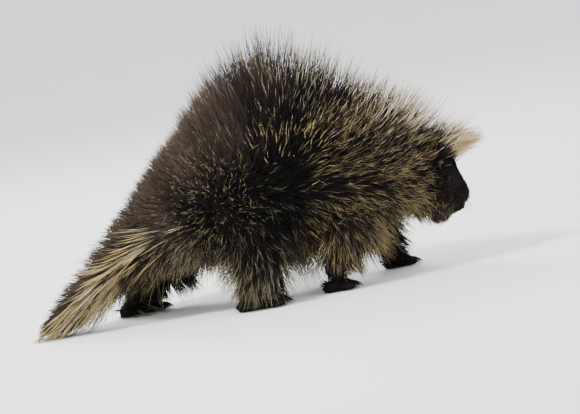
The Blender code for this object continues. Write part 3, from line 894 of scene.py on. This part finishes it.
def onLegs(p):
    return (ease(0.095, 0.065, p[:, 2]) * ease(0.165, 0.185, p[:, 0]) * (1 - faceShare(p))
            * (1 - onTail(p) * (np.abs(p[:, 1]) < 0.05)))


def onFeet(p):
    return ease(0.03, 0.022, p[:, 2]) * onLegs(p)


def onTrunk(p):
    return (1 - onTail(p)) * (1 - onLegs(p)) * (1 - faceShare(p))


def onCrest(p, n):
    return ease(0.55, 0.85, n[:, 2]) * ease(0.27, 0.36, p[:, 0]) * onTrunk(p)


def onForelock(p, n):
    return (ease(0.25, 0.6, n[:, 2] * 0.9 + n[:, 0] * 0.2) * ease(0.695, 0.705, p[:, 0])
            * ease(0.16, 0.172, p[:, 2]) * (np.abs(p[:, 1]) < 0.03))


def nearWhorl(p):
    gap = np.hypot(p[:, 0] - whorl["middle"][0], p[:, 2] - whorl["middle"][1])
    return ease(*(whorl["radius"] * share for share in whorl["quills"]), gap)


def gapTo(p, middle):
    return np.linalg.norm(p + base - np.array(middle), axis=1)


def nearEars(p):
    return sum(ease(0.018, 0.012, gapTo(p, middleOf(node)[0])) for node in nodesCalled("ear"))


def clearOfFace(p, n):      # no fur on the eyes, the nostrils and the soles
    clear = np.ones(len(p))
    for node in nodesCalled("eye"):
        clear *= ease(0.0075, 0.009, gapTo(p, middleOf(node)[0]))
    x, y, z = skinSet["nostrils"]
    for side in (1, -1):
        gap = np.linalg.norm(p - np.array((x, y * side, z)), axis=1)
        clear *= ease(0.004, 0.0055, gap)
    return clear * (1 - (p[:, 2] < 0.006) * (n[:, 2] < -0.3))


# the coat's layers; a layer's own values take the place of these

coatDefaults = {
    "pieces": 1,
    "length": 1.0, "vary": (0.6, 1.1), "fill": (9, 9),      # share of the room for the coat
    "over": 0.0, "hang": 0.0, "crop": 0.0, "footCrop": 0.0,
    "lift": 1.0, "scatter": 0.12, "stray": 0.06, "settle": 0.25, "curl": 0.12, "wave": 0.0,
    "bend": (0, 0, 0), "gather": 1.0, "sink": 0.0015,
    "pale": 1.0, "paleLeast": 0.0, "paleFrom": (-1, 0), "paleTone": 1.0, "hueSpread": 0.12,
    "dark": None, "gloss": 0.5, "specular": 0.06,
}
# count: tufts, hairs in a tuft, rings along a hair; tip: where along it the pale tip begins and is
# full; dark: where it darkens again; finish: the layer whose finish it shares
coatLayers = {
    "underfur": {
        "pieces": 2, "count": (5600, 3, 2), "width": 0.0021, "length": 0.62, "vary": (0.7, 1.0),
        "fill": (0.36, 0.6), "spread": 0.006, "gather": 0.6, "pale": 0.0, "tip": (0.6, 0.95),
        "gloss": 0.7, "density": lambda p, n: 1 - faceShare(p) - 0.6 * onLegs(p)},
    "guardHair": {
        "pieces": 3, "count": (5900, 2, 3), "width": 0.001, "vary": (0.7, 1.1),
        "fill": (0.62, 1.0), "spread": 0.005, "gather": 0.35, "wave": 0.055, "curl": 0.2,
        "stray": 0.09, "crop": 0.5, "hang": 0.055, "paleTone": 0.68, "tip": (0.45, 0.85),
        "density": lambda p, n: 0.8 * onTail(p) + onTrunk(p) * (1 + 1.2 * onCrest(p, n))},
    "backHair": {
        "count": (3200, 2, 3), "width": 0.0009, "length": 1.15, "fill": (0.8, 1.2), "over": 0.012,
        "spread": 0.004, "gather": 0.7, "stray": 0.07, "scatter": 0.14, "pale": 0.4,
        "paleTone": 0.5, "tip": (0.5, 0.95),
        "density": lambda p, n: (ease(0.46, 0.34, p[:, 0]) * ease(-0.1, 0.5, n[:, 2])
                                 * (1 - onLegs(p)))},
    "quill": {
        "count": (1000, 1, 2), "width": 0.0017, "length": 0.85, "vary": (0.5, 1.0),
        "fill": (0.6, 0.9), "spread": 0.004, "settle": 0.1, "curl": 0.03, "scatter": 0.24,
        "crop": 0.42, "hue": 0.6, "paleLeast": 0.95, "tip": (0.42, 0.55), "dark": 0.9,
        "gloss": 0.4,
        "density": lambda p, n: (
            onTrunk(p) * (0.1 + ease(0.21, 0.26, p[:, 2]) * ease(0.66, 0.6, p[:, 0]))
            * ease(0.4, 0.44, p[:, 0])
            * (1 - 0.85 * ease(0.255, 0.285, p[:, 2]) * ease(0.55, 0.5, p[:, 0])))},
    "whorlQuill": {
        "count": (1900, 1, 2), "width": 0.0012, "length": 0.9, "fill": (0.75, 1.05),
        "spread": 0.004, "settle": 0.05, "curl": 0.03, "scatter": 0.42, "lift": 1.7, "hue": 0.15,
        "paleLeast": 0.95, "paleTone": 0.9, "tip": (0.68, 0.78),
        "density": lambda p, n: nearWhorl(p) * onTrunk(p)},
    "crestHair": {
        "count": (3900, 1, 4), "width": 0.0009, "length": 1.3, "vary": (0.75, 1.15),
        "fill": (0.74, 1.1), "over": 0.013, "spread": 0.008, "gather": 1.2, "wave": 0.02,
        "scatter": 0.16, "hue": 0.8, "paleLeast": 0.85, "paleFrom": (0.4, 0.56),
        "tip": (0.68, 0.95),
        "density": lambda p, n: (
            ease(0.7, 0.9, n[:, 2]) * ease(0.22, 0.36, p[:, 0])
            * (1 + 0.8 * ease(0.52, 0.46, p[:, 0]))
            + 0.45 * ease(0.1, 0.6, n[:, 2]) * ease(0.14, 0.22, p[:, 0])) * onTrunk(p)},
    "tailQuill": {
        "count": (600, 2, 6), "width": 0.001, "fixedLength": 0.1, "vary": (0.4, 1.1),
        "spread": 0.006, "gather": 0.3, "scatter": 0.06, "settle": 1.3, "curl": 0.08, "lift": 0.55,
        "paleLeast": 0.74, "hueSpread": 0.25, "tip": (0.1, 0.4), "dark": 0.9, "gloss": 0.4,
        "density": lambda p, n: (
            ease(0.275, 0.24, p[:, 0]) * ease(0.25, 0.0, n[:, 2])
            * ease(-0.98, -0.75, n[:, 2] - 0.4 * ease(0.15, 0.2, p[:, 0]))
            * ease(0.156, 0.138, p[:, 2]) * (1 - onLegs(p))
            * (0.5 + ease(0.05, 0.12, p[:, 0])))},
    "legFur": {
        "count": (4200, 3, 2), "width": 0.0012, "length": 1.2, "vary": (0.7, 1.1),
        "fill": (0.8, 1.1), "footCrop": 0.3, "over": 0.003, "hang": 0.022, "spread": 0.003,
        "gather": 0.5, "sink": 0.001, "finish": "guardHair",
        "density": lambda p, n: clearOfFace(p, n) * onLegs(p) * (1 + 6 * onFeet(p))},
    "faceFur": {
        "count": (6000, 3, 2), "width": 0.001, "vary": (0.7, 1.2), "fill": (1.0, 1.6),
        "spread": 0.011, "gather": 0.1, "sink": 0.0004, "scatter": 0.08, "tip": (0.5, 0.9),
        "gloss": 0.7, "specular": 0.02, "density": lambda p, n: clearOfFace(p, n) * faceShare(p)},
    "forelock": {
        "count": (210, 3, 4), "width": 0.0009, "vary": (0.55, 1.15), "fill": (0.9, 1.2),
        "over": 0.05, "spread": 0.004, "gather": 0.9, "scatter": 0.05, "curl": 0.04, "lift": 0.08,
        "settle": 0.0, "aim": (0.4, 0.0, 0.2035), "rise": 0.35, "bend": (0, 0, -0.66), "hue": 0.62,
        "paleLeast": 1.0, "paleTone": 1.25, "tip": (0.05, 0.45), "density": onForelock},
    "maneHair": {
        "count": (650, 1, 4), "width": 0.0007, "fixedLength": 0.105, "vary": (0.6, 1.05),
        "fill": (1.0, 1.35), "over": 0.014, "spread": 0.006, "scatter": 0.1, "curl": 0.08,
        "lift": 0.8, "hue": 0.92, "paleLeast": 0.95, "paleTone": 1.2, "tip": (0.4, 0.7),
        "density": lambda p, n: (ease(0.45, 0.75, n[:, 2]) * ease(0.56, 0.64, p[:, 0])
                                 * onTrunk(p))},
    "earFur": {
        "count": (320, 3, 2), "width": 0.0009, "fixedLength": 0.016, "spread": 0.002,
        "gather": 0.8, "pale": 0.5, "finish": "faceFur", "density": lambda p, n: nearEars(p)},
    "whiskers": {
        "count": (30, 1, 5), "width": 0.00022, "fixedLength": 0.044, "vary": (0.4, 1.1),
        "over": 0.05, "spread": 0.0, "sink": 0.0005, "lift": 0.8, "towards": (0.5, 0.3, -0.7),
        "scatter": 0.3, "curl": 0.3, "hue": 1.0, "paleLeast": 1.0, "paleTone": 0.45,
        "finish": "whisker", "tip": (-0.4, 0.1), "gloss": 0.4,
        "density": lambda p, n: (
            ease(0.732, 0.738, p[:, 0]) * ease(0.75, 0.746, p[:, 0])
            * ease(0.006, 0.009, np.abs(p[:, 1])) * ease(0.106, 0.102, p[:, 2]))},
}
# rootShade and rootUpTo: painted shade, each hair darkened towards black from its root up to that
# share of its length, deep in the coat; tuftShade: a random darker tone for each tuft
coatShade = {"brownPower": 1.5, "tipVary": 0.15, "tuftShade": 0.35,
             "rootShade": 0.45, "rootUpTo": 0.55, "darkOver": 0.12}


def coatFinish(name, layer):
    finish = Finish(name)
    along, pale = finish.attribute("along"), finish.attribute("pale")
    hue, shade = finish.attribute("hue"), finish.attribute("shade")
    dark = baseTone(finish, finish.attribute("brown") ** coatShade["brownPower"])
    light = finish.mix(finish.blend(hue, 0.0, 0.5), coatTones["olive"], coatTones["straw"])
    light = finish.mix(finish.blend(hue, 0.5, 1.0), light, coatTones["cream"])
    share = finish.blend(along + (shade - 0.5) * coatShade["tipVary"],
                         *layer["tip"]) * pale
    colour = finish.mix(share, dark, light)
    if layer["dark"]:
        end = finish.blend(along, layer["dark"], layer["dark"] + coatShade["darkOver"])
        colour = finish.mix(end, colour, coatTones["quillTip"])
    # painted shade near the roots, deep in the coat, mixed towards black together with each tuft's
    # random darker tone
    tuftToneAndRootShade = (shade * coatShade["tuftShade"]
            + finish.blend(along, coatShade["rootUpTo"], 0.0) * coatShade["rootShade"])
    colour = finish.mix(tuftToneAndRootShade, colour, coatTones["black"])
    return finish.set(base=colour, roughness=layer["gloss"], specular=layer["specular"])


def makeCoat(skin, room):
    ground = readSkin(skin)
    finishes = {}
    for name, values in coatLayers.items():
        layer = coatDefaults | values
        look = layer.get("finish", name)
        if look not in finishes:
            finishes[look] = coatFinish(look, layer)
        for number in range(layer["pieces"]):
            pieceName = name + (str(number + 1) if layer["pieces"] > 1 else "")
            growCoat(pieceName, layer, finishes[look], ground, room)


skinLook = {"grain": 1100.0, "stretch": (0.22, 1.0, 1.0), "slope": -38, "brown": 0.4,
            "grainBrown": 0.04, "roughness": 0.75, "specular": 0.03, "bump": (0.7, 0.0012)}


def finishSkin(skin):
    activate(skin)
    bpy.ops.object.shade_smooth()
    startEdit()
    bpy.ops.uv.smart_project(angle_limit=radians(66), island_margin=0.002)
    endEdit()
    skin.data.uv_layers[0].name = "OFBake"
    places = meshPlaces(skin) - base
    lie = comb(places, np.zeros_like(places))
    skin.data.attributes.new("brown", "FLOAT", "POINT")
    skin.data.attributes["brown"].data.foreach_set("value", lie["brown"].astype(np.float32))
    finish = Finish("skinFinish")
    along = finish.node("Mapping", {}, {"Vector": finish.place(), "Scale": skinLook["stretch"],
                                        "Rotation": (0, radians(skinLook["slope"]), 0)})
    grain = finish.noise(skinLook["grain"], place=along)
    brown = finish.attribute("brown") ** 2 * skinLook["brown"] + grain * skinLook["grainBrown"]
    dress(skin, finish.set(base=baseTone(finish, brown), roughness=skinLook["roughness"],
                           specular=skinLook["specular"],
                           normal=finish.bump(grain, *skinLook["bump"])))
    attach(skin, "root")
    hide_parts(*fleshNodes)


eyeSet = {
    "bulge": 0.0005, "corneaFrom": 0.8,     # share of the radius
    "pupil": (0.0034, 0.00391), "iris": (0.0044, 0.00528), "gloss": 0.05, "specular": 0.05,
    "pupilTone": tone(4, 4, 5), "irisTone": tone(17, 11, 8), "edgeTone": tone(9, 7, 6),
}


def makeEye(node, side):
    middle, size = middleOf(node)
    radius, facing = max(size), eyeFacing(side).normalized()
    deselect()
    bpy.ops.mesh.primitive_uv_sphere_add(
        segments=40, ring_count=24, radius=radius, location=middle,
        rotation=facing.to_track_quat("Z", "Y").to_euler())
    eye = bpy.context.object
    eye.name = "eyeball" + node[4:].capitalize()
    putInOrder(eye)
    for vertex in eye.data.vertices:
        vertex.select = vertex.co.z > radius * eyeSet["corneaFrom"]
    bpy.ops.object.mode_set(mode="EDIT")
    bpy.ops.transform.translate(value=facing * eyeSet["bulge"])
    endEdit()
    settle(eye)
    bpy.ops.object.shade_smooth()
    finish = Finish(eye.name)
    front = middle + facing * (radius + eyeSet["bulge"])
    gap = finish.node("VectorMath", {"operation": "DISTANCE"},
                      {0: finish.place(), 1: front}, "Value")
    colour = finish.mix(finish.blend(gap, *eyeSet["pupil"]), eyeSet["pupilTone"],
                        eyeSet["irisTone"])
    colour = finish.mix(finish.blend(gap, *eyeSet["iris"]), colour, eyeSet["edgeTone"])
    dress(eye, finish.set(base=colour, roughness=eyeSet["gloss"], specular=eyeSet["specular"]))
    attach(eye, "root")
    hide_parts(node)


clawSet = {
    # in mm: x along the claw, y, height, slope, half height, half width
    "sections": ((0, 0, 8.4, -8, 3.1, 2.3), (4, 0, 8.2, -18, 2.9, 2.1), (8, 0, 6.8, -34, 2.2, 1.6),
                 (11.3, 0, 4.5, -50, 1.3, 1.0), (13.2, 0, 2.0, -62, 0.4, 0.3)),
    "sides": 10, "intoToe": 0.0012, "inward": 0.06, "fan": 3.5,
    "rootTone": tone(52, 42, 36), "tipTone": tone(120, 102, 84),
    "paleFrom": (0.008, 0.001), "streaks": 600, "streakDepth": 0.35, "streakShift": 0.004,
    "gloss": 0.35, "coat": 0.3, "bump": (0.3, 0.0003),
}


def makeClaws():
    pattern = loft("clawPattern", metres(clawSet["sections"]), clawSet["sides"],
                   Vector((0, 0, 0)))
    applyModifier(pattern, "SUBSURF", levels=1, render_levels=1)
    bpy.ops.object.shade_smooth()
    finish = Finish("clawHorn")
    height = finish.node("SeparateXYZ", {}, {"Vector": finish.place()}, "Z")
    streak = finish.noise(clawSet["streaks"], 2) * clawSet["streakDepth"]
    colour = finish.mix(finish.blend(height + streak * clawSet["streakShift"],
                                     *clawSet["paleFrom"]),
                        clawSet["rootTone"], clawSet["tipTone"])
    dress(pattern, finish.set(base=colour, roughness=clawSet["gloss"], coat=clawSet["coat"],
                              normal=finish.bump(streak, *clawSet["bump"])))
    for node in nodesCalled("claw"):
        middle, size = middleOf(node)
        owner = ("paw_" if "front" in node else "foot_") + node[5:-2]
        across = middle.y - middleOf(owner)[0].y
        claw = pattern.copy()
        claw.data = pattern.data.copy()
        claw.name = node + "_horn"
        scene.collection.objects.link(claw)
        claw.location = (middle.x - size.x - clawSet["intoToe"],
                         middle.y - across * clawSet["inward"], 0)
        claw.rotation_euler = (0, 0, across * clawSet["fan"])
        settle(claw)
        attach(claw, "root")
        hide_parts(node)
    bpy.data.objects.remove(pattern)


padSet = {"spread": (0.86, 0.72), "rise": 0.0024, "tone": tone(24, 20, 19),
          "pebbleTone": tone(46, 39, 36), "pebbles": 900.0, "roughness": 0.6,
          "bump": (0.6, 0.0005)}


def makePads():     # rounded cushions, cut flat where they stand on the floor
    finish = Finish("solePad")
    pebbles = finish.node("TexVoronoi", {"feature": "F1"},
                          {"Vector": finish.place(), "Scale": padSet["pebbles"]}, "Distance")
    colour = finish.mix(pebbles, padSet["tone"], padSet["pebbleTone"])
    material = finish.set(base=colour, roughness=padSet["roughness"],
                          normal=finish.bump(pebbles, *padSet["bump"]))
    for node in nodesCalled("pad"):
        middle, size = middleOf(node)
        long, wide = padSet["spread"]
        pad = ball((middle.x, middle.y, 0.0),
                   (size.x * long, size.y * wide, middle.z + size.z + padSet["rise"]))
        startEdit()
        bpy.ops.mesh.bisect(plane_co=(0, 0, 0), plane_no=(0, 0, -1), use_fill=True,
                            clear_outer=True)
        endEdit()
        pad.name = node + "_cushion"
        bpy.ops.object.shade_smooth()
        dress(pad, material)
        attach(pad, "root")
        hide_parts(node)


fleshNodes = [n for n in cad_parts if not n.startswith(("eye", "claw", "pad"))]
makeCamera()
makeStudio()
makeFloor()
print("camera, light and floor made")
room = makeRoom()
skin = makeSkin()
finishSkin(skin)
print("skin made", len(skin.data.polygons))
makeEye("eye_left", 1)
makeEye("eye_right", -1)
makeClaws()
makePads()
print("eyes, claws and pads made")
makeCoat(skin, room)
